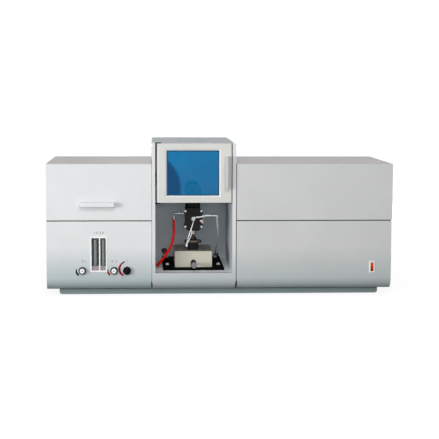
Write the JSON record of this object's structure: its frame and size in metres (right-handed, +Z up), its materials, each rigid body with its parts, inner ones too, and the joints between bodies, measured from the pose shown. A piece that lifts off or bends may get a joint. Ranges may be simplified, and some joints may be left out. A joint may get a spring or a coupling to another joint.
{
  "type": "atomic absorption spectrometer",
  "caption": "Bench flame atomic absorption spectrometer: grey cabinets either side of a burner chamber with a blue-windowed door, lamp lid, gas panel and atomiser.",
  "frame": {"origin": "on the bench surface, under the middle of the whole object's bounding box", "axes": "+X to the right as seen from the front, along the longest side; the front faces -Y; +Z up"},
  "size_m": [1.05, 0.46, 0.4675],
  "materials": {
    "housing_grey": "satin",
    "cover_grey": "satin",
    "plinth_grey": "satin",
    "liner_grey": "satin",
    "door_white": "satin",
    "blue_window": "gloss",
    "clear_glass": "gloss",
    "black_plastic": "matte",
    "white_plastic": "gloss",
    "orange_plastic": "gloss",
    "box_beige": "satin",
    "silver_metal": "brushed",
    "bronze": "worn",
    "aluminium": "cast",
    "black_paint": "matte",
    "rubber": "matte",
    "red_rubber": "satin",
    "clear_tubing": "gloss",
    "zinc_plate": "satin"
  },
  "bodies": {
    "housing": {"base_frame": "plinth_grey", "rubber_feet": "rubber", "left_lower_cabinet": "housing_grey", "right_lower_cabinet": "cover_grey", "right_upper_cover": "cover_grey", "chamber_shell": "housing_grey", "chamber_liner": "liner_grey", "chamber_roof": "housing_grey", "left_rear_panel": "housing_grey", "right_rear_panel": "cover_grey", "lid_hinge_fixed_leaf": "zinc_plate", "lid_hinge_pin": "zinc_plate", "turret_bracket": "aluminium", "turret_motor": "black_paint", "lens_tubes": "black_paint", "lens_glasses": "clear_glass", "meter_block": "black_plastic", "meter_bezel": "white_plastic", "meter_tubes": "clear_glass", "gas_valves": "bronze", "gas_inlet_stubs": "bronze", "mains_inlet": "black_plastic", "rocker_bezel": "white_plastic", "door_hinges": "black_paint", "monochromator_casting": "aluminium", "photomultiplier_housing": "black_paint", "power_supply": "zinc_plate", "hose_grommets": "rubber", "base_plate": "black_paint", "atomiser_box": "box_beige", "slide_base": "aluminium"},
    "lamp_lid": {"lamp_lid": "housing_grey", "lid_handle": "door_white", "lid_hinge_moving_leaf": "zinc_plate"},
    "door": {"door_frame": "door_white", "door_window": "blue_window", "door_handle": "door_white"},
    "turret": {"turret_drum": "black_paint", "cathode_lamps": "clear_glass"},
    "air_knob": {"air_knob": "black_plastic"},
    "fuel_knob": {"fuel_knob": "black_plastic"},
    "on_off_knob": {"on_off_knob": "black_plastic"},
    "power_rocker": {"power_rocker": "orange_plastic"},
    "air_float": {"air_float": "silver_metal"},
    "fuel_float": {"fuel_float": "silver_metal"},
    "grating": {"grating_holder": "aluminium"},
    "carriage": {"slide_block": "aluminium", "lift_column": "black_paint"},
    "fore_aft_knob": {"fore_aft_knob": "silver_metal"},
    "height_wheel": {"height_wheel": "black_paint"},
    "atomiser": {"lift_post": "bronze", "spray_chamber": "black_plastic", "flange_screws": "silver_metal", "nebuliser": "silver_metal", "hose_fittings": "silver_metal", "nebuliser_air_tube": "white_plastic", "red_hose": "red_rubber", "clear_tube": "clear_tubing", "capillary": "white_plastic"},
    "burner": {"burner_head": "black_paint"}
  },
  "joints": [
    {"name": "lamp_lid_hinge", "type": "hinge", "parent": "housing", "child": "lamp_lid", "pos_m": [-0.3665, 0.1947, 0.4], "axis": [-1, 0, 0], "range_deg": [0, 65]},
    {"name": "door_hinge", "type": "hinge", "parent": "housing", "child": "door", "pos_m": [-0.1851, -0.201, 0.2858], "axis": [0, 0, -1], "range_deg": [0, 105]},
    {"name": "turret_turn", "type": "hinge", "parent": "housing", "child": "turret", "pos_m": [-0.463, -0.056, 0.304], "axis": [1, 0, 0], "continuous": true},
    {"name": "air_knob_turn", "type": "hinge", "parent": "housing", "child": "air_knob", "pos_m": [-0.4172, -0.206, 0.08], "axis": [0, -1, 0], "range_deg": [0, 1080]},
    {"name": "fuel_knob_turn", "type": "hinge", "parent": "housing", "child": "fuel_knob", "pos_m": [-0.3217, -0.206, 0.08], "axis": [0, -1, 0], "range_deg": [0, 1080]},
    {"name": "on_off_knob_turn", "type": "hinge", "parent": "housing", "child": "on_off_knob", "pos_m": [-0.2827, -0.206, 0.08], "axis": [0, -1, 0], "range_deg": [0, 90]},
    {"name": "power_rocker_tilt", "type": "hinge", "parent": "housing", "child": "power_rocker", "pos_m": [0.4649, -0.2015, 0.0881], "axis": [-1, 0, 0], "range_deg": [0, 16]},
    {"name": "air_float_rise", "type": "slide", "parent": "housing", "child": "air_float", "axis": [0, 0, 1], "range_m": [0, 0.066]},
    {"name": "fuel_float_rise", "type": "slide", "parent": "housing", "child": "fuel_float", "axis": [0, 0, 1], "range_m": [0, 0.066]},
    {"name": "grating_turn", "type": "hinge", "parent": "housing", "child": "grating", "pos_m": [0.3615, 0.015, 0.3368], "axis": [0, 0, 1], "range_deg": [-35, 35]},
    {"name": "burner_fore_aft", "type": "slide", "parent": "housing", "child": "carriage", "axis": [0, 1, 0], "range_m": [-0.005, 0.005], "deforming": ["red_hose", "clear_tube"]},
    {"name": "fore_aft_knob_turn", "type": "hinge", "parent": "housing", "child": "fore_aft_knob", "pos_m": [-0.0784, -0.121, 0.09], "axis": [0, 1, 0], "range_deg": [-900.5, 900.5]},
    {"name": "height_wheel_turn", "type": "hinge", "parent": "carriage", "child": "height_wheel", "pos_m": [-0.0784, -0.076, 0.1493], "axis": [0, 0, 1], "range_deg": [-720.5, 900.5]},
    {"name": "burner_lift", "type": "slide", "parent": "carriage", "child": "atomiser", "axis": [0, 0, 1], "range_m": [-0.008, 0.01], "deforming": ["red_hose", "clear_tube"]},
    {"name": "burner_head_turn", "type": "hinge", "parent": "atomiser", "child": "burner", "pos_m": [-0.0784, -0.041, 0.2903], "axis": [0, 0, -1], "range_deg": [0, 90]}
  ],
  "couplings": [
    {"joint": "fore_aft_knob_turn", "follows": "burner_fore_aft", "rad_per_m": 3141.6},
    {"joint": "height_wheel_turn", "follows": "burner_lift", "rad_per_m": 1570.8}
  ]
}
